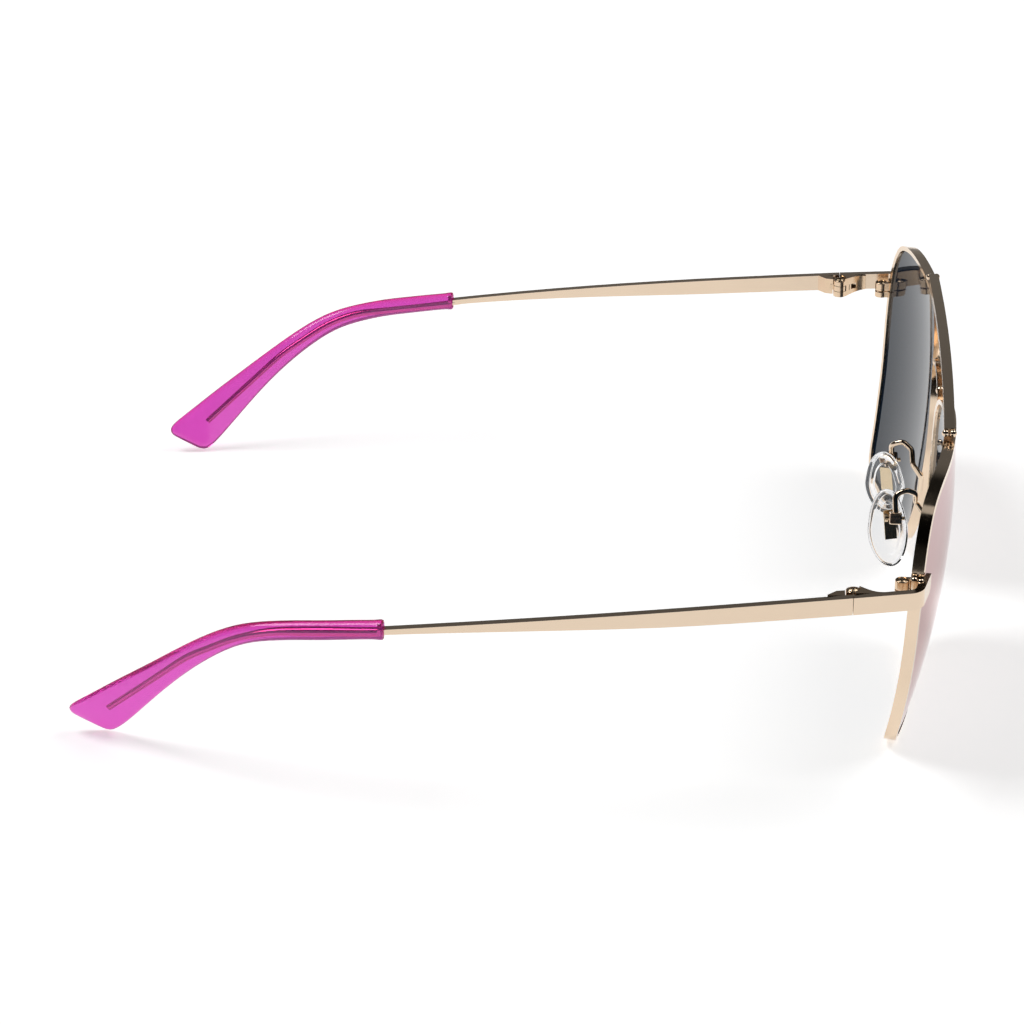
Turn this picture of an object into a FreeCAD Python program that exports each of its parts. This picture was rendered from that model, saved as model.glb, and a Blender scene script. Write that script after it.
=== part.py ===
import FreeCAD, Part
import math
import os
from FreeCAD import Vector

# Metal frame sunglasses with a straight brow bar, drawn in millimetres.
# +X is the wearer's left, the wearer looks along -Y, +Z is up and the floor is z = 0.
# Every piece is drawn for the wearer's left with the hinge line at y = 0, then mirrored,
# and the whole is moved back by MID_Y so that the origin is the middle of the footprint.

# ---- driving dimensions ----
HINGE_X = 70.4          # hinge screw axis, from the middle
HINGE_TOP = 37.0        # top of the hinge barrel above the floor
MID_Y = 58.8            # hinge line to the middle of the footprint

BASE_RADIUS = 132.0     # sphere that the back edges of the rims lie on
BASE_CENTRE = Vector(24.04, 115.16, 39.39)
LENS_AXIS = Vector(0.10, -0.99, -0.10)
RIM_DEPTH = 2.0         # front to back
RIM_THICK = 0.9
LENS_BACK = 0.45        # lens surfaces, out from the base sphere
LENS_FRONT = 1.85
GROOVE_DEPTH = 0.45
GROOVE_NEAR = 0.65
GROOVE_FAR = 1.35
LENS_PLAY = 0.04

BAR_HALF = 36.5
BAR_TOP = 51.9
BAR_CROWN = 0.4
BAR_THICK = 1.3
BAR_DEPTH = 1.85
BAR_BACK_END = -15.8
BAR_BACK_MID = -16.5

STRIP_TOP = HINGE_TOP + 0.1
STRIP_HEIGHT = 3.15
STRIP_THICK = 1.45
STRIP_RISE = 0.085      # slope of the end piece, up towards the front
STRIP_OUTER = 74.0      # outer face of the end piece and temple at the hinge
CORNER_X = 73.1         # outer corner where the end piece turns to the rim
CORNER_Y = -11.5

BARREL_R = 1.25
BARREL_HEIGHT = 3.4
KNUCKLE = BARREL_HEIGHT / 3
KNUCKLE_GAP = 0.05
SCREW_R = 0.6
RUNNING = 0.03          # radial clearance of the hinge screw
JOINT_GAP = 0.1         # end piece to temple, each side of the hinge line

LOCK_X = 67.7           # rim lock barrel
LOCK_Y = -8.2
LOCK_R = 1.2
LOCK_TOP = HINGE_TOP + 0.8
LOCK_MID = HINGE_TOP - 0.9
LOCK_BOTTOM = HINGE_TOP - 2.2
RIM_SLIT = 0.2

PAD_CENTRE = Vector(9.9, -8.4, 20.0)
PAD_NORMAL = Vector(-0.94, 0.21, -0.27)
PAD_UP = Vector(-0.273, 0.109, 0.956)
PAD_LENGTH = 14.6
PAD_WIDTH = 8.2
PAD_THICK = 2.2
POCKET_LENGTH = 9.4
POCKET_WIDTH = 4.4
POCKET_DEPTH = 0.5
PAD_PIVOT = Vector(13.0, -9.3, 23.4)
PAD_SCREW_R = 0.35
PAD_LEAN = 16.3         # lean of the pad box, in degrees, so that it faces along the pad
WIRE_R = 0.5


# ---- helpers ----
def spline(points, closed=False):
    curve = Part.BSplineCurve()
    curve.interpolate(points, PeriodicFlag=closed)
    return curve.toShape()


def polygon_face(points):
    return Part.Face(Part.makePolygon(points + points[:1]))


def band_face(top, bottom):
    """A flat face between two curves that run the same way, closed by straight ends."""
    edges = [spline(top), Part.makeLine(top[-1], bottom[-1]), spline(bottom), Part.makeLine(bottom[0], top[0])]
    return Part.Face(Part.Wire(Part.__sortEdges__(edges)))


def mirrored(shape):
    return shape.mirror(Vector(0, 0, 0), Vector(1, 0, 0))


def upright(radius, x, y, low, high):
    return Part.makeCylinder(radius, high - low, Vector(x, y, low))


def box(x0, x1, y0, y1, z0, z1):
    return Part.makeBox(x1 - x0, y1 - y0, z1 - z0, Vector(x0, y0, z0))


def wire_path(points, bend):
    """Straight runs joined by tangent arcs of one bend radius, or less where a run is short."""
    edges = []
    start = points[0]
    for before, corner, after in zip(points, points[1:], points[2:]):
        inward = (before - corner).normalize()
        onward = (after - corner).normalize()
        half_turn = (math.pi - inward.getAngle(onward)) / 2
        room = 0.45 * min((before - corner).Length, (after - corner).Length)
        radius = min(bend, room / math.tan(half_turn))
        reach = radius * math.tan(half_turn)
        middle = (inward + onward).normalize()
        first = corner + inward * reach
        last = corner + onward * reach
        top = corner + middle * (radius / math.cos(half_turn) - radius)
        edges.append(Part.makeLine(start, first))
        edges.append(Part.Arc(first, top, last).toShape())
        start = last
    edges.append(Part.makeLine(start, points[-1]))
    return Part.Wire(edges)


def tube(points, radius, bend):
    path = wire_path(points, bend)
    ring = Part.Wire(Part.makeCircle(radius, points[0], points[1] - points[0]))
    return path.makePipeShell([ring], True, False)


# ---- rims and lenses ----
# Outer edge of the left rim seen from the front, as x and height.
RIM_OUTLINE = [
    (45.0, 50.4), (36.0, 50.5), (25.5, 50.1), (16.0, 48.6), (10.0, 46.3), (6.7, 42.8), (5.5, 38.5),
    (5.7, 33.0), (6.8, 27.6), (8.9, 21.4), (11.3, 15.2), (13.6, 9.8), (17.0, 5.5), (22.5, 2.8),
    (29.5, 1.0), (37.0, 0.1), (45.0, -0.02), (51.6, 0.01), (56.1, 0.4), (59.2, 2.5), (61.3, 6.6), (63.5, 12.6),
    (65.6, 20.3), (67.1, 27.6), (67.4, 34.5), (66.4, 40.2), (64.0, 44.9), (60.9, 47.9), (56.8, 49.5),
]
OUTLINE_Y = -12.0
EDGE_POINTS = 72


def rim_edge(inset):
    """The rim's outer edge moved in by the inset, as one smooth closed curve."""
    edge = Part.BSplineCurve()
    edge.interpolate([Vector(x, OUTLINE_Y, z) for x, z in RIM_OUTLINE], PeriodicFlag=True)
    if inset == 0:
        return edge.toShape()
    span = edge.LastParameter - edge.FirstParameter
    points = []
    for step in range(EDGE_POINTS):
        place = edge.FirstParameter + span * step / EDGE_POINTS
        inward = edge.tangent(place)[0].cross(Vector(0, 1, 0))
        points.append(edge.value(place) + inward * inset)
    return spline(points, closed=True)


def rim_prism(inset):
    """Solid along the lens axis whose side is the rim's edge moved in by the inset."""
    face = Part.Face(Part.Wire(rim_edge(inset)))
    face.translate(LENS_AXIS * -14.0)
    return face.extrude(LENS_AXIS * 28.0)


def between_spheres(near, far):
    outer = Part.makeSphere(BASE_RADIUS + far, BASE_CENTRE)
    return outer.cut(Part.makeSphere(BASE_RADIUS + near, BASE_CENTRE))


RIM_BLANK = rim_prism(0)


def rim():
    strip = RIM_BLANK.cut(rim_prism(RIM_THICK)).common(between_spheres(0, RIM_DEPTH))
    groove = rim_prism(RIM_THICK - GROOVE_DEPTH).common(between_spheres(GROOVE_NEAR, GROOVE_FAR))
    slit = box(60, 72, -16, -6, LOCK_MID - RIM_SLIT / 2, LOCK_MID + RIM_SLIT / 2)
    return strip.cut(groove).cut(slit)


def lens():
    body = rim_prism(RIM_THICK + LENS_PLAY).common(between_spheres(LENS_BACK, LENS_FRONT))
    bevel = rim_prism(RIM_THICK - GROOVE_DEPTH + LENS_PLAY)
    bevel = bevel.common(between_spheres(GROOVE_NEAR + LENS_PLAY, GROOVE_FAR - LENS_PLAY))
    return body.fuse(bevel).removeSplitter()


RIM = rim()
LENS = lens()


# ---- brow bar and bridge ----
def brow_bar():
    low = BAR_TOP - 4
    back = [Vector(-BAR_HALF, BAR_BACK_END, low), Vector(0, BAR_BACK_MID, low), Vector(BAR_HALF, BAR_BACK_END, low)]
    front = [point - Vector(0, BAR_DEPTH, 0) for point in back]
    plan = band_face(back, front).extrude(Vector(0, 0, 8))
    top = [Vector(-BAR_HALF, 0, BAR_TOP), Vector(0, 0, BAR_TOP + BAR_CROWN), Vector(BAR_HALF, 0, BAR_TOP)]
    under = [point - Vector(0, 0, BAR_THICK) for point in top]
    side = band_face(top, under).extrude(Vector(0, -30, 0))
    bar = plan.common(side)
    bead_r = 0.45
    solder_r = 0.68
    for end in (-1, 1):
        start = Vector(end * (BAR_HALF + 0.1), BAR_BACK_END, BAR_TOP - BAR_THICK + bead_r * 0.6)
        bar = bar.fuse(Part.makeCylinder(bead_r, BAR_DEPTH, start, Vector(0, -1, 0)))
        for y in (BAR_BACK_END - 0.25, BAR_BACK_END - BAR_DEPTH + 0.3):
            bar = bar.fuse(Part.makeSphere(solder_r, Vector(end * (BAR_HALF + 0.4), y, BAR_TOP - 0.75)))
    return bar.cut(RIM_BLANK).cut(mirrored(RIM_BLANK)).removeSplitter()


def bridge():
    half = 9.0
    back = -16.0
    top = [Vector(-half, back, 46.0), Vector(0, back, 47.9), Vector(half, back, 46.0)]
    under = [point - Vector(0, 0, 1.2) for point in top]
    strip = band_face(top, under).extrude(Vector(0, -1.9, 0))
    for end in (-1, 1):
        strip = strip.fuse(Part.makeSphere(0.85, Vector(end * 6.6, -16.6, 46.2)))
    return strip.cut(RIM_BLANK).cut(mirrored(RIM_BLANK)).removeSplitter()


# ---- end piece, rim lock and hinge ----
def sloped_band(x0, x1, low, high):
    """Room between the end piece's lower and upper edge, each given at the hinge line."""
    front = -18
    rise = STRIP_RISE * -front
    side = [Vector(x0, 0, low), Vector(x0, 0, high), Vector(x0, front, high + rise), Vector(x0, front, low + rise)]
    return polygon_face(side).extrude(Vector(x1 - x0, 0, 0))


def end_piece():
    corner_r = 2.6
    z = STRIP_TOP - STRIP_HEIGHT
    outer = [Vector(STRIP_OUTER, -JOINT_GAP / 2, z - 1), Vector(CORNER_X, CORNER_Y, z - 1), Vector(65.9, -13.15, z - 1)]
    path = wire_path(outer, corner_r)
    strip = path.makeOffset2D(STRIP_THICK, 0, True, True).extrude(Vector(0, 0, 8))
    strip = strip.common(sloped_band(60, 80, z, STRIP_TOP))
    # The front tongue has a round lower corner.
    tip_r = 2.2
    tip_x = 65.7 + tip_r
    tip_z = z + 11 * STRIP_RISE + tip_r
    corner_block = box(60, tip_x, -16, -11, z - 1, tip_z)
    corner_block = corner_block.cut(Part.makeCylinder(tip_r, 6, Vector(tip_x, -16.5, tip_z), Vector(0, 1, 0)))
    strip = strip.cut(corner_block)
    solder_low = z + 1.5
    solder_top = STRIP_TOP + 0.75
    for x, y, r in ((68.1, -10.2, 0.7), (68.6, -11.3, 0.65)):
        strip = strip.fuse(Part.makeSphere(r, Vector(x, y, solder_top)))
        strip = strip.fuse(upright(r, x, y, solder_low, solder_top))
    clear = Part.makeSphere(BASE_RADIUS + RIM_DEPTH + 0.1, BASE_CENTRE).common(rim_prism(-0.05))
    return strip.cut(clear).removeSplitter()


def rounded_barrel(radius, x, y, low, high):
    """An upright barrel with a rounded top edge."""
    edge_r = 0.2
    barrel = upright(radius, x, y, low, high)
    top = [edge for edge in barrel.Edges if abs(edge.BoundBox.ZMin - high) < 0.01]
    return barrel.makeFillet(edge_r, top)


def lock_half(low, high):
    barrel = rounded_barrel(LOCK_R, LOCK_X, LOCK_Y, low, high)
    web = box(LOCK_X - 1.0, LOCK_X - 0.15, LOCK_Y - 1.7, LOCK_Y, low, high)
    return barrel.fuse(web).cut(RIM).cut(LENS).cut(END_PIECE)


def closing_block_upper():
    block = lock_half(LOCK_MID + RIM_SLIT / 2, LOCK_TOP)
    block = block.cut(upright(SCREW_R, LOCK_X, LOCK_Y, LOCK_MID, LOCK_TOP + 1))
    return block.cut(upright(0.95, LOCK_X, LOCK_Y, LOCK_TOP - 0.5, LOCK_TOP + 1))


def closing_block_lower():
    block = lock_half(LOCK_BOTTOM, LOCK_MID - RIM_SLIT / 2)
    return block.cut(upright(SCREW_R - 0.05, LOCK_X, LOCK_Y, LOCK_BOTTOM - 1, LOCK_MID))


def slotted_screw(x, y, low, seat, head_r, head_top, shank_r):
    dome_r = 1.6
    head = upright(head_r, x, y, seat, head_top).common(Part.makeSphere(dome_r, Vector(x, y, head_top - dome_r)))
    screw = upright(shank_r, x, y, low, seat).fuse(head)
    slot = box(x - 0.14, x + 0.14, y - 2, y + 2, head_top - 0.3, head_top + 1)
    return screw.removeSplitter().cut(slot)


def inner_face(y):
    """Inner face of the end piece behind its corner, where it runs in a little towards the front."""
    return STRIP_OUTER - STRIP_THICK - 0.01 + y * (STRIP_OUTER - CORNER_X) / -CORNER_Y


def front_hinge():
    low = HINGE_TOP - BARREL_HEIGHT
    front = -5.2
    ramp = [Vector(HINGE_X - 1.1, -0.5, low), Vector(HINGE_X + 0.1, -2.0, low), Vector(HINGE_X + 1.1, -3.5, low),
            Vector(inner_face(front) - 0.4, front, low)]
    face_line = [Vector(inner_face(front), front, low), Vector(inner_face(-0.3), -0.3, low)]
    edges = [spline(ramp), Part.makeLine(ramp[-1], face_line[0]), Part.makeLine(face_line[0], face_line[1])]
    edges.append(Part.makeLine(face_line[1], ramp[0]))
    leaf = Part.Face(Part.Wire(edges)).extrude(Vector(0, 0, BARREL_HEIGHT + 0.35))
    leaf = leaf.cut(upright(BARREL_R, HINGE_X, 0, HINGE_TOP, HINGE_TOP + 1))
    taper = polygon_face([Vector(60, -1.2, low - 1), Vector(60, -1.2, low), Vector(60, -5.3, low + 0.9),
                          Vector(60, -5.3, low - 1)])
    leaf = leaf.cut(taper.extrude(Vector(20, 0, 0)))
    leaf = leaf.fuse(rounded_barrel(BARREL_R, HINGE_X, 0, low, HINGE_TOP))
    mid_low = low + KNUCKLE - KNUCKLE_GAP
    mid_high = HINGE_TOP - KNUCKLE + KNUCKLE_GAP
    leaf = leaf.cut(upright(BARREL_R + 0.15, HINGE_X, 0, mid_low, mid_high))
    leaf = leaf.cut(box(HINGE_X, HINGE_X + 1.5, -2, 2, mid_low, mid_high))
    leaf = leaf.cut(box(66, 72.3, -3.3, -2.3, low + 1.25, low + 2.35))
    leaf = leaf.cut(upright(SCREW_R + RUNNING, HINGE_X, 0, mid_high, HINGE_TOP + 1))
    leaf = leaf.cut(upright(SCREW_R, HINGE_X, 0, low - 1, mid_low))
    leaf = leaf.cut(upright(1.0, HINGE_X, 0, HINGE_TOP - 0.4, HINGE_TOP + 1))
    return leaf.cut(END_PIECE).removeSplitter()


def temple_hinge():
    low = HINGE_TOP - BARREL_HEIGHT
    mid_low = low + KNUCKLE + KNUCKLE_GAP
    mid_high = HINGE_TOP - KNUCKLE - KNUCKLE_GAP
    inner = STRIP_OUTER - STRIP_THICK
    knuckle = upright(BARREL_R, HINGE_X, 0, mid_low, mid_high)
    arm = box(HINGE_X + 0.2, HINGE_X + 1.15, 0, 1.9, mid_low, mid_high)
    near = BARREL_R + 0.11
    plan = [Vector(HINGE_X + 0.2, near, low), Vector(HINGE_X + 0.5, 2.8, low), Vector(inner - 0.1, 4.3, low),
            Vector(inner + 0.2, 4.3, low), Vector(inner - 0.01, near, low)]
    leaf = polygon_face(plan).extrude(Vector(0, 0, BARREL_HEIGHT))
    leaf = leaf.common(box(60, 80, 0, 10, low + 0.15, HINGE_TOP - 0.1))
    hinge = knuckle.fuse(arm).fuse(leaf)
    hinge = hinge.cut(upright(SCREW_R + RUNNING, HINGE_X, 0, low, HINGE_TOP))
    return hinge.cut(TEMPLE).removeSplitter()


# ---- temple and its sleeve ----
# Side view of the flat temple: distance behind the hinge line, upper edge and lower edge.
TEMPLE_TOP = [(JOINT_GAP / 2, 37.1), (25.0, 34.78), (52.0, 32.1), (79.5, 29.05)]
TEMPLE_UNDER = [(JOINT_GAP / 2, 33.96), (15.0, 32.7), (30.0, 31.5), (45.0, 30.6), (62.0, 29.55), (79.5, 28.1)]
# Outer face of the temple seen from above: distance behind the hinge line and sideways place.
TEMPLE_BOW = [(JOINT_GAP / 2, STRIP_OUTER), (18.0, 75.0), (36.0, 75.65), (56.0, 75.75), (79.5, 74.95)]
CORE_R = 0.55
CORE_PATH = [Vector(74.25, 77.0, 28.6), Vector(71.2, 101.5, 26.35), Vector(67.1, 113.2, 19.2),
             Vector(61.7, 128.2, 6.0)]


def temple():
    top = [Vector(60, y, z) for y, z in TEMPLE_TOP]
    under = [Vector(60, y, z) for y, z in TEMPLE_UNDER]
    side = band_face(top, under).extrude(Vector(20, 0, 0))
    outer = [Vector(x, y, 20) for y, x in TEMPLE_BOW]
    inner = [point - Vector(STRIP_THICK, 0, 0) for point in outer]
    blade = side.common(band_face(outer, inner).extrude(Vector(0, 0, 30)))
    core = tube(CORE_PATH, CORE_R, 30.0)
    return blade.fuse(core).removeSplitter()


# Sections of the sleeve from its mouth to its fishtail end: sideways place, then the upper and the lower
# point as distance behind the hinge line and height, then the thickness.
SLEEVE = [
    (74.2, 78.6, 30.4, 78.6, 27.1, 3.2), (73.5, 86.0, 29.85, 86.0, 26.5, 3.15), (72.6, 93.5, 29.15, 93.2, 25.75, 3.1),
    (70.9, 101.9, 27.8, 100.0, 24.55, 3.0), (69.3, 107.5, 25.3, 104.6, 22.6, 2.9),
    (67.5, 113.7, 21.3, 110.4, 18.5, 2.8), (65.8, 120.2, 16.5, 116.0, 13.4, 2.7),
    (64.0, 126.4, 12.1, 121.0, 7.9, 2.4), (62.1, 131.6, 8.1, 125.2, 3.1, 2.0),
    (60.6, 135.2, 5.2, 127.6, 0.4, 1.7), (59.6, 136.3, 4.0, 128.9, 0.0, 1.2),
]


def sleeve():
    rings = []
    for x, y_up, z_up, y_low, z_low, thick in SLEEVE:
        up = Vector(x, y_up, z_up)
        low = Vector(x, y_low, z_low)
        middle = (up + low) * 0.5
        ahead = (low - up).cross(Vector(1, 0, 0)).normalize()
        across = (up - low).cross(ahead).normalize()
        ring = Part.Ellipse(up, middle + across * thick * 0.5, middle)
        rings.append(Part.Wire(ring.toShape()))
    return Part.makeLoft(rings, True, False)


def temple_tip():
    bore = tube(CORE_PATH, CORE_R + 0.05, 30.0)
    return sleeve().cut(bore).cut(TEMPLE)


# ---- nose pads ----
def pad_frame():
    """Turns the pad's own axes (x out from the nose, y across, z along) into place."""
    out = (PAD_NORMAL * -1).normalize()
    along = (PAD_UP - out * PAD_UP.dot(out)).normalize()
    across = along.cross(out)
    matrix = FreeCAD.Matrix(out.x, across.x, along.x, PAD_CENTRE.x, out.y, across.y, along.y, PAD_CENTRE.y,
                            out.z, across.z, along.z, PAD_CENTRE.z, 0, 0, 0, 1)
    return FreeCAD.Placement(matrix)


def oval(length, width, x, deep):
    ring = Part.Ellipse(Vector(x, 0, length / 2), Vector(x, width / 2, 0), Vector(x, 0, 0))
    return Part.Face(Part.Wire(ring.toShape())).extrude(Vector(deep, 0, 0))


def placed(shape):
    shape = shape.copy()
    shape.Placement = pad_frame()
    return shape


def nose_pad():
    half = PAD_THICK / 2
    pad = oval(PAD_LENGTH, PAD_WIDTH, -half, PAD_THICK)
    rims = [edge for edge in pad.Edges if isinstance(edge.Curve, Part.Ellipse)]
    pad = pad.makeFillet(0.9, rims)
    pad = pad.cut(oval(POCKET_LENGTH, POCKET_WIDTH, half - POCKET_DEPTH, 1))
    return placed(pad)


def pad_insert():
    seat = PAD_THICK / 2 - POCKET_DEPTH
    plate = placed(Part.makeBox(0.35, 2.2, 5.4, Vector(seat + 0.02, -1.1, -2.0)))
    lug_thick = 0.8
    lug = Part.makeCylinder(0.8, lug_thick, PAD_PIVOT + Vector(0, lug_thick / 2, 0), Vector(0, -1, 0))
    stalk = placed(Part.makeBox(3.2, lug_thick, 1.2, Vector(seat + 0.1, -lug_thick / 2, 1.7)))
    stalk.translate(Vector(0, PAD_PIVOT.y - stalk.BoundBox.Center.y, 0))
    stalk = stalk.common(box(0, PAD_PIVOT.x, PAD_PIVOT.y - lug_thick / 2, PAD_PIVOT.y + lug_thick / 2, 0, 60))
    bore = Part.makeCylinder(PAD_SCREW_R + RUNNING, 4, PAD_PIVOT + Vector(0, 2, 0), Vector(0, -1, 0))
    return plate.fuse(stalk).fuse(lug).cut(bore).removeSplitter()


def leaning(shape):
    """Turned about the pad screw, so that its outer side faces the way the pad does."""
    shape.rotate(PAD_PIVOT, Vector(0, 1, 0), -PAD_LEAN)
    return shape


def pad_block():
    p = PAD_PIVOT
    block = box(p.x - 1.0, p.x + 1.15, p.y - 1.15, p.y + 1.15, p.z - 1.05, p.z + 1.1)
    return leaning(block.makeFillet(0.28, block.Edges))


def pad_box():
    p = PAD_PIVOT
    slot = leaning(box(p.x - 2, p.x + 0.8, p.y - 0.5, p.y + 0.5, p.z - 2, p.z + 0.8))
    bore = Part.makeCylinder(PAD_SCREW_R, 4, p + Vector(0, 2, 0), Vector(0, -1, 0))
    return pad_block().cut(slot).cut(bore)


def pad_screw():
    p = PAD_PIVOT
    shank = Part.makeCylinder(PAD_SCREW_R, 3.1, p + Vector(0, 1.4, 0), Vector(0, -1, 0))
    head = Part.makeCylinder(0.75, 0.6, p + Vector(0, 1.95, 0), Vector(0, -1, 0))
    slot = box(p.x - 0.1, p.x + 0.1, p.y + 1.75, p.y + 3, p.z - 2, p.z + 2)
    return shank.fuse(head).removeSplitter().cut(slot)


def pad_arm():
    p = PAD_PIVOT
    route = [p + Vector(-0.1, 0, 0.9), Vector(11.3, -9.1, 27.3), Vector(10.9, -11.2, 28.1), Vector(9.8, -12.9, 27.0),
             Vector(8.4, -13.1, 24.6), Vector(8.3, -14.8, 22.0), Vector(9.7, -14.7, 18.6)]
    wire = tube(route, WIRE_R, 1.4)
    return wire.cut(RIM).cut(pad_block())


# ---- assembly ----
def both(name, shape, parts):
    parts[name + "_left"] = shape
    parts[name + "_right"] = mirrored(shape)


def pair(shape):
    return Part.makeCompound([shape, mirrored(shape)])


END_PIECE = end_piece()
TEMPLE = temple()
PAD_BOX = pad_box()

pieces = {}
both("rim", RIM, pieces)
both("lens", LENS, pieces)
pieces["brow_bar"] = brow_bar()
pieces["bridge"] = bridge()
both("end_piece", END_PIECE, pieces)
both("closing_block_upper", closing_block_upper(), pieces)
both("closing_block_lower", closing_block_lower(), pieces)
closing_screw = slotted_screw(LOCK_X, LOCK_Y, LOCK_BOTTOM + 0.2, LOCK_TOP - 0.5, 0.9, LOCK_TOP + 0.12, SCREW_R - 0.05)
pieces["closing_screws"] = pair(closing_screw)
both("front_hinge", front_hinge(), pieces)
both("temple_hinge", temple_hinge(), pieces)
hinge_screw = slotted_screw(HINGE_X, 0, HINGE_TOP - BARREL_HEIGHT, HINGE_TOP - 0.4, 0.95, HINGE_TOP + 0.38, SCREW_R)
pieces["hinge_screws"] = pair(hinge_screw)
both("temple", TEMPLE, pieces)
both("temple_tip", temple_tip(), pieces)
both("pad_arm", pad_arm(), pieces)
both("pad_box", PAD_BOX, pieces)
pieces["pad_screws"] = pair(pad_screw())
both("pad_insert", pad_insert(), pieces)
both("nose_pad", nose_pad(), pieces)

os.makedirs("parts", exist_ok=True)
for name, shape in pieces.items():
    shape = shape.copy()
    shape.translate(Vector(0, -MID_Y, 0))
    shape.exportStep(os.path.join("parts", name + ".step"))
    size = shape.BoundBox
    print(f"{name:28s} solids {len(shape.Solids)} valid {shape.isValid()} volume {shape.Volume:9.2f}",
          f"x {size.XMin:7.2f} {size.XMax:7.2f} y {size.YMin:7.2f} {size.YMax:7.2f} z {size.ZMin:6.2f} {size.ZMax:6.2f}")
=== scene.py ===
import math

import bmesh
import bpy
from mathutils import Matrix, Vector


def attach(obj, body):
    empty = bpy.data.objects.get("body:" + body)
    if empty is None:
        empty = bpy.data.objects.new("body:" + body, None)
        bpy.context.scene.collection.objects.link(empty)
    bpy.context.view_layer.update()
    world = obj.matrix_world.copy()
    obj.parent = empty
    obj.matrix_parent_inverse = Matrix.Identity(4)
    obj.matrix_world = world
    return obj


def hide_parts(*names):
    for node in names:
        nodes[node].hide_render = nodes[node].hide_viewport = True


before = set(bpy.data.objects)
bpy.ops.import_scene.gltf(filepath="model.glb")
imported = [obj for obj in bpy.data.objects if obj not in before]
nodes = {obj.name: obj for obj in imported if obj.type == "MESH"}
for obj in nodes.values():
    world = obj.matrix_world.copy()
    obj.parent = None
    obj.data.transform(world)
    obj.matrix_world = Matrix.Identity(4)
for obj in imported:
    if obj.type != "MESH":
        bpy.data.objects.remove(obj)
bpy.context.view_layer.update()

MM = 0.001
HINGE_Y = -58.8             # hinge line, in millimetres
LENS_CENTRE = Vector((24.04, 115.16 + HINGE_Y, 39.39)) * MM     # sphere of the left lens and rim
LENS_RADIUS = 132.0 * MM
LENS_MIDDLE = 1.15 * MM     # middle of the lens thickness, out from that sphere
LENS_HEIGHT = 50.0 * MM
SCREW_CENTRES = ((0.0704, -0.0588), (0.0677, -0.0670))      # hinge screw and rim lock screw, from above

CAMERA_PLACE = (-0.62702, -0.03754, 0.31191)
CAMERA_AHEAD = (0.9030, 0.0582, -0.4256)
CAMERA_LENS = 130.1         # focal length in millimetres on a 36 mm sensor
FLOOR_SIZE = 6.0
FLOOR_GLOW = 0.57           # light of its own, which keeps the shadows soft and pale


# ---- camera and light ----
def add_camera():
    data = bpy.data.cameras.new("camera")
    data.lens = CAMERA_LENS
    data.sensor_width = 36.0
    data.clip_start = 0.01
    camera = bpy.data.objects.new("camera", data)
    bpy.context.scene.collection.objects.link(camera)
    camera.location = CAMERA_PLACE
    camera.rotation_euler = Vector(CAMERA_AHEAD).to_track_quat("-Z", "Y").to_euler()
    bpy.context.scene.camera = camera


def add_light(name, place, size, power):
    """A round soft light that shines at the middle of the floor."""
    data = bpy.data.lights.new(name, "AREA")
    data.shape = "DISK"
    data.size = size
    data.energy = power
    light = bpy.data.objects.new(name, data)
    bpy.context.scene.collection.objects.link(light)
    light.location = place
    light.rotation_euler = (-Vector(place)).to_track_quat("-Z", "Y").to_euler()


# ---- shader maths ----
class Amount:
    """A number that varies over a surface. Python arithmetic on it adds Math nodes."""

    def __init__(self, look, socket):
        self.look = look
        self.socket = socket

    def maths(self, operation, first, second):
        made = self.look.node("ShaderNodeMath", {"operation": operation}, {0: first, 1: second})
        return Amount(self.look, made.outputs[0])

    def __add__(self, other):
        return self.maths("ADD", self, other)

    def __radd__(self, other):
        return self.maths("ADD", other, self)

    def __sub__(self, other):
        return self.maths("SUBTRACT", self, other)

    def __rsub__(self, other):
        return self.maths("SUBTRACT", other, self)

    def __mul__(self, other):
        return self.maths("MULTIPLY", self, other)

    def __rmul__(self, other):
        return self.maths("MULTIPLY", other, self)

    def __truediv__(self, other):
        return self.maths("DIVIDE", self, other)

    def __rtruediv__(self, other):
        return self.maths("DIVIDE", other, self)

    def __pow__(self, other):
        return self.maths("POWER", self, other)

    def __rpow__(self, other):
        return self.maths("POWER", other, self)

    def __gt__(self, other):
        return self.maths("GREATER_THAN", self, other)

    def __lt__(self, other):
        return self.maths("LESS_THAN", self, other)


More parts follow.
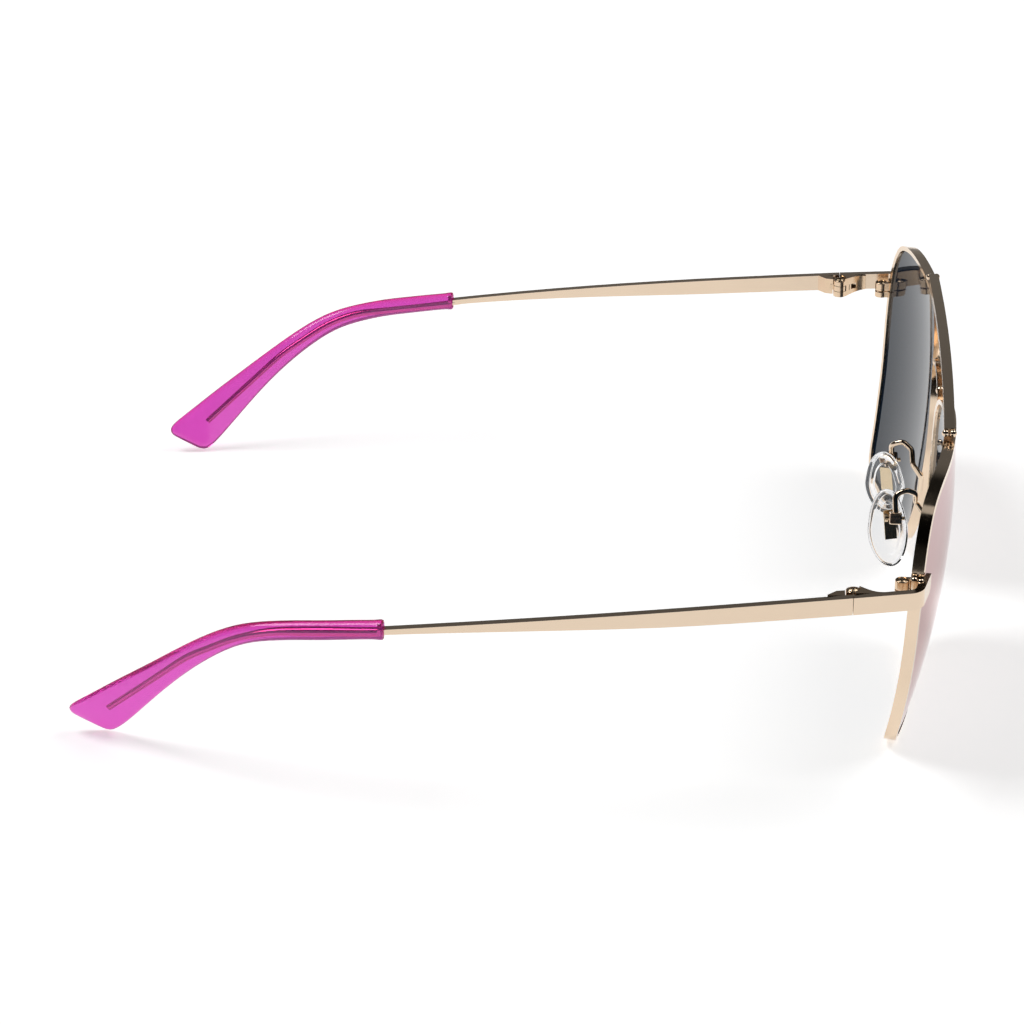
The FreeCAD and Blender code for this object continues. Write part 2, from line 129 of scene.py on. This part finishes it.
class Look:
    """The nodes of a material, or of the studio round the object."""

    def __init__(self, owner):
        self.owner = owner
        owner.use_nodes = True
        self.tree = owner.node_tree
        self.tree.nodes.clear()

    def node(self, kind, settings=None, sockets=None):
        """A node of this kind, its settings made first and then the values or links of its sockets."""
        made = self.tree.nodes.new(kind)
        for key, value in (settings or {}).items():
            if key == "stops":
                self.set_stops(made.color_ramp, value)
            else:
                setattr(made, key, value)
        for key, value in (sockets or {}).items():
            self.feed(made.inputs[key], value)
        return made

    def set_stops(self, ramp, stops):
        while len(ramp.elements) < len(stops):
            ramp.elements.new(0.5)
        for element, (place, colour) in zip(ramp.elements, stops):
            element.position = place
            element.color = colour

    def feed(self, socket, value):
        if isinstance(value, Amount):
            self.tree.links.new(value.socket, socket)
        elif isinstance(value, bpy.types.NodeSocket):
            self.tree.links.new(value, socket)
        else:
            socket.default_value = value

    def place(self, what="Object"):
        return self.node("ShaderNodeTexCoord").outputs[what]

    def noise(self, scale, detail, stretch=(1, 1, 1)):
        """Cloudy noise over the object, drawn out along an axis where the stretch is small."""
        mapped = self.node("ShaderNodeMapping", {"vector_type": "POINT"}, {
            "Vector": self.place(), "Scale": stretch})
        made = self.node("ShaderNodeTexNoise", None, {
            "Vector": mapped.outputs["Vector"], "Scale": scale, "Detail": detail})
        return Amount(self, made.outputs["Fac"])

    def ramp(self, amount, stops):
        return self.node("ShaderNodeValToRGB", {"stops": stops}, {"Fac": amount}).outputs["Color"]

    def only_above(self, amount, start, full):
        """Nothing up to the start, then a rise to the whole."""
        return Amount(self, self.ramp(amount, [(start, grey(0)), (full, grey(1))]))

    def mix(self, amount, first, second):
        """A blend of two colours, which the node takes at its sockets 6 and 7 and gives at 2."""
        made = self.node("ShaderNodeMix", {"data_type": "RGBA"}, {0: amount, 6: first, 7: second})
        return made.outputs[2]

    def bump(self, height, depth, strength):
        made = self.node("ShaderNodeBump", None, {"Height": height, "Distance": depth, "Strength": strength})
        return made.outputs["Normal"]

    def split(self, vector):
        """The three parts of a vector, as amounts."""
        parts = self.node("ShaderNodeSeparateXYZ", None, {0: vector})
        return [Amount(self, socket) for socket in parts.outputs]

    def shader(self, sockets):
        return self.node("ShaderNodeBsdfPrincipled", None, sockets).outputs[0]

    def surface(self, shader):
        self.node("ShaderNodeOutputMaterial", None, {"Surface": shader})
        return self.owner


def grey(value):
    return (value, value, value, 1)


def distance(first, *others):
    """How far away a place is, from its distances along each axis."""
    total = first * first
    for other in others:
        total = total + other * other
    return total ** 0.5


# ---- finishes ----
def plated_metal(name, pale, deep, rough, brushed):
    """Polished plating with faint cloudiness, hairline scratches along one direction and a few specks."""
    look = Look(bpy.data.materials.new(name))
    cloud = look.noise(90.0, 3.0)
    hairline = look.noise(900.0, 2.0, brushed)
    speck = look.only_above(look.noise(2600.0, 2.0), 0.70, 0.80)
    tarnish = (0.32, 0.24, 0.17, 1)
    tone = look.mix(speck * 0.12, look.mix(cloud, pale, deep), tarnish)
    return look.surface(look.shader({
        "Base Color": tone, "Metallic": 1.0,
        "Roughness": rough + cloud * 0.05 + hairline * 0.07,
        "Normal": look.bump(hairline * 0.7 + cloud * 0.3, 0.02 * MM, 0.25)}))


def turned_metal(name, pale, deep):
    """Screw metal with fine rings from the lathe round the middle of each screw."""
    rings_per_metre = 42000.0
    look = Look(bpy.data.materials.new(name))
    x, y = look.split(look.place())[:2]
    side = distance(x)
    (hinge_x, hinge_y), (lock_x, lock_y) = SCREW_CENTRES
    from_hinge = distance(side - hinge_x, y - hinge_y)
    from_lock = distance(side - lock_x, y - lock_y)
    nearest = from_hinge.maths("MINIMUM", from_hinge, from_lock)
    rings = nearest.maths("SINE", nearest * rings_per_metre, 0.0)
    cloud = look.noise(700.0, 3.0)
    return look.surface(look.shader({
        "Base Color": look.mix(cloud, pale, deep), "Metallic": 1.0,
        "Roughness": 0.16 + cloud * 0.14,
        "Normal": look.bump(rings * 0.5 + cloud, 0.01 * MM, 0.3)}))


def mirror_lens(name):
    """A dusty pink mirror in front and a smoky tint behind, told apart by the lens sphere."""
    look = Look(bpy.data.materials.new(name))
    x, y, z = look.split(look.place())
    across = distance(x) - LENS_CENTRE.x
    away = distance(across, y - LENS_CENTRE.y, z - LENS_CENTRE.z)
    front = away > LENS_RADIUS + LENS_MIDDLE
    haze = look.noise(45.0, 2.0)
    grain = look.only_above(look.noise(3500.0, 1.0), 0.70, 0.76) * 0.08
    pink = look.ramp(z / LENS_HEIGHT + haze * 0.12, [
        (0.05, (0.64, 0.52, 0.51, 1)), (0.5, (0.57, 0.42, 0.40, 1)), (1.0, (0.53, 0.42, 0.42, 1))])
    smoke = look.mix(haze, (0.004, 0.012, 0.026, 1), (0.007, 0.018, 0.034, 1))
    dust = (0.7, 0.68, 0.66, 1)
    polish = 0.03 + haze * 0.03 + grain
    swell = look.bump(haze, 0.04 * MM, 0.05)
    mirror = look.shader({
        "Base Color": look.mix(grain, pink, dust), "Metallic": 1.0, "Roughness": polish,
        "Specular Tint": (0.84, 0.74, 0.74, 1), "Normal": swell})
    tint = look.shader({
        "Base Color": look.mix(grain, smoke, dust), "Roughness": polish, "IOR": 1.27, "Normal": swell})
    return look.surface(look.node("ShaderNodeMixShader", None, {0: front, 1: tint, 2: mirror}).outputs[0])


def clear_plastic(name, pale, deep, edge):
    """See-through moulded plastic, with faint flow marks and painted shade that makes it redder where it
    curves away to its edges.
    """
    look = Look(bpy.data.materials.new(name))
    drift = look.noise(70.0, 2.0)
    flow = look.noise(260.0, 2.0, (1, 0.25, 1))
    sideways = look.split(look.place("Normal"))[0]
    # painted shade: the colour deepens to the edge red where the surface turns away from the flat sides
    painted_edge_shade = 1 - distance(sideways)
    return look.surface(look.shader({
        "Base Color": look.mix(painted_edge_shade ** 1.5, look.mix(drift, pale, deep), edge),
        "Roughness": 0.05 + flow * 0.04,
        "IOR": 1.42, "Transmission Weight": 0.72,
        "Normal": look.bump(flow, 0.01 * MM, 0.04)}))


def soft_silicone(name):
    """Clear soft rubber, hardly milky, with a satin skin that has picked up specks of dust."""
    look = Look(bpy.data.materials.new(name))
    milk = look.noise(160.0, 2.0)
    skin = look.noise(1400.0, 3.0)
    specks = look.only_above(skin, 0.66, 0.78)
    return look.surface(look.shader({
        "Base Color": look.mix(milk, (0.97, 0.975, 0.98, 1), (0.92, 0.93, 0.94, 1)),
        "Roughness": 0.02 + specks * 0.08 + milk * 0.02,
        "IOR": 1.41, "Transmission Weight": 1.0,
        "Normal": look.bump(skin, 0.02 * MM, 0.04)}))


def pale_floor(name):
    """Matt white board, very slightly uneven in tone."""
    look = Look(bpy.data.materials.new(name))
    return look.surface(look.shader({
        "Base Color": look.mix(look.noise(3.0, 2.0), grey(0.90), grey(0.88)),
        "Roughness": 0.9, "Specular IOR Level": 0.0,
        "Emission Color": grey(1), "Emission Strength": FLOOR_GLOW}))


# ---- modelling by hand ----
def begin(name, add, **settings):
    """Adds a primitive, the only thing selected, and leaves it in edit mode."""
    bpy.ops.object.select_all(action="DESELECT")
    add(**settings)
    piece = bpy.context.object
    piece.name = name
    piece.data.name = name
    bpy.ops.object.transform_apply(location=True, rotation=True, scale=True)
    bpy.ops.object.mode_set(mode="EDIT")
    return piece


def finish_shape(piece, levels):
    """Turns the faces outwards, leaves edit mode and rounds the shape with an applied subdivision."""
    bpy.ops.mesh.select_all(action="SELECT")
    bpy.ops.mesh.normals_make_consistent(inside=False)
    bpy.ops.object.mode_set(mode="OBJECT")
    if levels:
        rounding = piece.modifiers.new("rounding", "SUBSURF")
        rounding.levels = levels
        rounding.render_levels = levels
        bpy.ops.object.modifier_apply(modifier=rounding.name)
    bpy.ops.object.shade_smooth()
    return piece


def pick_faces(piece, test):
    """Selects the faces whose centre and normal pass the test."""
    bpy.ops.mesh.select_mode(type="FACE")
    bpy.ops.mesh.select_all(action="DESELECT")
    mesh = bmesh.from_edit_mesh(piece.data)
    for face in mesh.faces:
        if test(face.calc_center_median(), face.normal):
            face.select_set(True)
    bmesh.update_edit_mesh(piece.data)


def pick_points(piece, chosen):
    """Selects the points with these numbers, and the faces that they close."""
    bpy.ops.mesh.select_mode(type="VERT")
    bpy.ops.mesh.select_all(action="DESELECT")
    mesh = bmesh.from_edit_mesh(piece.data)
    mesh.verts.ensure_lookup_table()
    for i in chosen:
        mesh.verts[i].select_set(True)
    mesh.select_flush(True)
    bmesh.update_edit_mesh(piece.data)


def extrude(step):
    bpy.ops.mesh.extrude_region_move(TRANSFORM_OT_translate={"value": step})


def tilt(angle, centre):
    """Leans the selection back by the angle about the sideways axis."""
    if angle:
        bpy.ops.transform.rotate(value=angle, orient_axis="X", center_override=centre)


def other_side(piece, name):
    """A mirrored copy with its own mesh."""
    copy = piece.copy()
    copy.data = piece.data.copy()
    copy.name = name
    copy.data.name = name
    bpy.context.scene.collection.objects.link(copy)
    copy.data.transform(Matrix.Diagonal((-1, 1, 1, 1)))
    bpy.ops.object.select_all(action="DESELECT")
    bpy.context.view_layer.objects.active = copy
    copy.select_set(True)
    bpy.ops.object.mode_set(mode="EDIT")
    return finish_shape(copy, 0)


def settle(piece, look, part, plain):
    """Gives a new piece its look, and lets it move with a part in place of that part's plain piece."""
    piece.data.materials.append(look)
    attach(piece, part)
    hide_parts(plain)


# ---- temple tip ----
# Sections of the tip from its mouth to its fishtail: sideways place, upper point and lower point as distance
# behind the hinge line and height, then the thickness, in millimetres.
TIP_SECTIONS = [
    (74.25, 78.45, 30.15, 78.45, 27.35, 2.7),
    (74.22, 78.60, 30.50, 78.60, 27.05, 3.35),
    (74.15, 79.20, 30.55, 79.20, 27.00, 3.45),
    (74.10, 79.90, 30.35, 79.90, 27.10, 3.20),
    (73.80, 83.0, 30.15, 83.0, 26.8, 3.15),
    (73.2, 89.5, 29.5, 89.5, 26.1, 3.1),
    (72.6, 93.5, 29.15, 93.2, 25.75, 3.1),
    (70.9, 101.9, 27.8, 100.0, 24.55, 3.0),
    (69.3, 107.5, 25.3, 104.6, 22.6, 2.9),
    (67.5, 113.7, 21.3, 110.4, 18.5, 2.8),
    (65.8, 120.2, 16.5, 116.0, 13.4, 2.7),
    (63.75, 126.4, 12.1, 121.0, 7.9, 2.7),
    (62.0, 131.6, 8.1, 125.2, 3.1, 2.3),
    (60.8, 135.0, 5.65, 127.4, 1.0, 2.0),
    (60.3, 135.75, 4.5, 128.5, 0.45, 1.65),
    (60.1, 135.2, 3.55, 129.6, 0.65, 1.0),
]
RING_POINTS = 16
SMOOTHING_LOSS = 1.026      # a ring with that many points shrinks this much when it is rounded
HAIR = 0.001 * MM           # a gap too small to count


def stretch_ring(piece, middle, more):
    """Moves the ring's upper half up and its lower half down, so that its round ends stay round."""
    mesh = bmesh.from_edit_mesh(piece.data)
    ring = {point.index: point.co.z - middle for point in mesh.verts if point.select}
    for way in (1, -1):
        pick_points(piece, [i for i, above in ring.items() if way * above > HAIR])
        bpy.ops.transform.translate(value=(0, 0, way * more))
    pick_points(piece, ring)


def temple_tip(name):
    """A sleeve with a beaded mouth that flattens to a fishtail and keeps its round edges."""
    centre = None
    for x, y_up, z_up, y_low, z_low, thick in TIP_SECTIONS:
        up = Vector((x, y_up + HINGE_Y, z_up)) * MM
        low = Vector((x, y_low + HINGE_Y, z_low)) * MM
        goal = (up + low) / 2
        wide = thick * MM * SMOOTHING_LOSS / 2
        tall = (up - low).length * SMOOTHING_LOSS / 2
        turn = math.atan2(up.y - low.y, up.z - low.z)
        if centre is None:
            piece = begin(name, bpy.ops.mesh.primitive_circle_add, vertices=RING_POINTS, radius=1,
                          fill_type="NGON", location=goal, rotation=(math.pi / 2, 0, 0))
            bpy.ops.transform.resize(value=(wide, 1, tall), center_override=goal)
        else:
            extrude(goal - centre)
            tilt(-lean, goal)
            bpy.ops.transform.resize(value=(wide / last_wide, 1, 1), center_override=goal)
            stretch_ring(piece, goal.z, tall - last_tall)
        tilt(turn, goal)
        centre, lean, last_wide, last_tall = goal, turn, wide, tall
    bpy.ops.mesh.inset(thickness=0.25 * MM)
    mouth = (TIP_SECTIONS[0][1] + HINGE_Y + 0.1) * MM
    pick_faces(piece, lambda spot, facing: abs(facing.y) > 0.9 and spot.y < mouth)
    bpy.ops.mesh.inset(thickness=0.35 * MM)
    extrude((0, 0.5 * MM, 0))
    return finish_shape(piece, 2)


# ---- nose pad ----
PAD_LONG = 14.6 * MM
PAD_WIDE = 8.2 * MM
PAD_THICK = 2.2 * MM
PAD_CENTRE = Vector((9.9, -8.4 + HINGE_Y, 20.0)) * MM
PAD_OUT = Vector((0.94, -0.21, 0.27)).normalized()      # from the nose towards the arm
PAD_UP = Vector((-0.273, 0.109, 0.956))


def squeeze(piece, test, share):
    """Brings the points that pass the test nearer to the pad's long axis."""
    mesh = bmesh.from_edit_mesh(piece.data)
    pick_points(piece, [point.index for point in mesh.verts if test(point.co)])
    bpy.ops.transform.resize(value=(share, 1, 1), center_override=(0, 0, 0))


def ring_inside(share):
    """A smaller ring of the same shape inside the selected face."""
    bpy.ops.mesh.inset(thickness=0.02 * MM)
    bpy.ops.transform.resize(value=(share, share, 1), center_override=(0, 0, 0))


def step_down(depth):
    """Sinks the selected face, with close rings that keep the step's edges crisp."""
    close = 0.1 * MM
    bpy.ops.mesh.inset(thickness=close)
    extrude((0, 0, -depth))
    bpy.ops.mesh.inset(thickness=close)


def nose_pad(name):
    """A crowned cushion, straighter towards the lens, with a stepped rim and a sunk seat for the arm."""
    piece = begin(name, bpy.ops.mesh.primitive_cylinder_add, vertices=28, radius=1, depth=PAD_THICK)
    bpy.ops.transform.resize(value=(PAD_WIDE / 2, PAD_LONG / 2, 1))
    near_axis = 0.01 * MM
    squeeze(piece, lambda spot: spot.x < -near_axis, 0.86)
    squeeze(piece, lambda spot: spot.y > near_axis, 0.93)
    # crown on the side of the nose
    pick_faces(piece, lambda spot, facing: facing.z < -0.9)
    bpy.ops.mesh.inset(thickness=0.35 * MM)
    ring_inside(0.72)
    ring_inside(0.6)
    # thin rounded edge
    pick_faces(piece, lambda spot, facing: abs(facing.z) < 0.5)
    bpy.ops.transform.resize(value=(1, 1, 0.45))
    # stepped rim and seat on the side of the arm
    pick_faces(piece, lambda spot, facing: facing.z > 0.9)
    bpy.ops.mesh.inset(thickness=0.3 * MM)
    bpy.ops.mesh.inset(thickness=0.5 * MM)
    step_down(0.3 * MM)
    ring_inside(0.82)
    step_down(0.35 * MM)
    ring_inside(0.6)
    finish_shape(piece, 2)
    along = (PAD_UP - PAD_OUT * PAD_UP.dot(PAD_OUT)).normalized()
    across = along.cross(PAD_OUT)
    place = Matrix((across, along, PAD_OUT)).transposed().to_4x4()
    place.translation = PAD_CENTRE
    piece.matrix_world = place
    bpy.ops.object.transform_apply(location=True, rotation=True, scale=True)
    return piece


# ---- looks of the frame's own pieces ----
ALL_WAYS = (1, 1, 1)
ALONG_TEMPLE = (1, 0.02, 1)
UP_THE_RIM = (1, 1, 0.05)
FRONT_TO_BACK = (1, 0.1, 1)

champagne = plated_metal(
    "champagne_plating", (0.755, 0.605, 0.46, 1), (0.715, 0.57, 0.43, 1), 0.10, ALONG_TEMPLE)
polished = plated_metal("polished_rim", (0.77, 0.615, 0.465, 1), (0.73, 0.58, 0.43, 1), 0.08, UP_THE_RIM)
hinge_gold = plated_metal("hinge_plating", (0.76, 0.58, 0.41, 1), (0.68, 0.50, 0.34, 1), 0.14, ALL_WAYS)
wire_gold = plated_metal("wire_plating", (0.82, 0.66, 0.50, 1), (0.76, 0.60, 0.44, 1), 0.07, ALL_WAYS)
insert_gold = plated_metal("insert_plate", (0.80, 0.64, 0.42, 1), (0.70, 0.54, 0.34, 1), 0.18, FRONT_TO_BACK)
screw_gold = turned_metal("screw_metal", (0.80, 0.62, 0.42, 1), (0.62, 0.46, 0.30, 1))
lens_look = mirror_lens("pink_mirror")
# the last colour is painted shade, the deeper red painted along the tips' edges
magenta = clear_plastic(
    "magenta_plastic", (0.91, 0.13, 0.72, 1), (0.87, 0.10, 0.66, 1), (1.0, 0.05, 0.27, 1))
silicone = soft_silicone("clear_silicone")

NODE_LOOKS = {
    "rim": polished, "lens": lens_look, "brow_bar": polished, "bridge": polished, "end_piece": champagne,
    "closing_block_upper": hinge_gold, "closing_block_lower": hinge_gold, "closing_screws": screw_gold,
    "front_hinge": hinge_gold, "temple_hinge": hinge_gold, "hinge_screws": screw_gold, "temple": champagne,
    "temple_tip": magenta, "pad_arm": wire_gold, "pad_box": wire_gold, "pad_screws": screw_gold,
    "pad_insert": insert_gold, "nose_pad": silicone,
}
for name, node in nodes.items():
    kind = name.replace("_left", "").replace("_right", "")
    for place in node.material_slots:
        place.material = NODE_LOOKS[kind]

# ---- new pieces ----
for left, right_name, look, part, slot, plain in (
        (temple_tip("sleeve_left"), "sleeve_right", magenta, "temple", "tip", "temple_tip"),
        (nose_pad("silicone_pad_left"), "silicone_pad_right", silicone, "nose_pad", "pad", "nose_pad")):
    right = other_side(left, right_name)
    settle(left, look, part + "_left", plain + "_left")
    settle(right, look, part + "_right", plain + "_right")

# ---- stage ----
bpy.ops.object.select_all(action="DESELECT")
bpy.ops.mesh.primitive_plane_add(size=FLOOR_SIZE, location=(0, 0, 0))
floor = bpy.context.object
floor.name = "floor"
floor.data.materials.append(pale_floor("pale_floor"))

add_camera()
add_light("key_above", (0.15, 0.62, 1.2), 0.65, 7.4)
add_light("fill_front", (0.25, -0.75, 1.05), 0.8, 4.5)
add_light("top_soft", (-0.10, -0.17, 1.2), 0.4, 0.2)

# The studio is white to the eye and dark in reflections: a dim glow low down beyond the object, black above.
world = bpy.data.worlds.new("studio")
bpy.context.scene.world = world
studio = Look(world)
directions = studio.split(studio.place("Generated"))
east, up = directions[0], directions[2]
low_down = Amount(studio, studio.ramp(up, [(0.0, grey(0.26)), (0.45, grey(0.11)), (0.56, grey(0.008))]))
far_side = Amount(studio, studio.ramp(east + 0.5, [(0.25, grey(0.10)), (0.8, grey(1.0))]))
dim = studio.node("ShaderNodeBackground", None, {"Color": grey(1.0), "Strength": low_down * far_side})
white = studio.node("ShaderNodeBackground", None, {"Color": grey(1.0), "Strength": 1.0})
eye = studio.node("ShaderNodeLightPath").outputs["Is Camera Ray"]
seen = studio.node("ShaderNodeMixShader", None, {0: eye, 1: dim.outputs[0], 2: white.outputs[0]})
studio.node("ShaderNodeOutputWorld", None, {"Surface": seen.outputs[0]})
bpy.context.scene.view_settings.view_transform = "Standard"

bpy.context.view_layer.update()
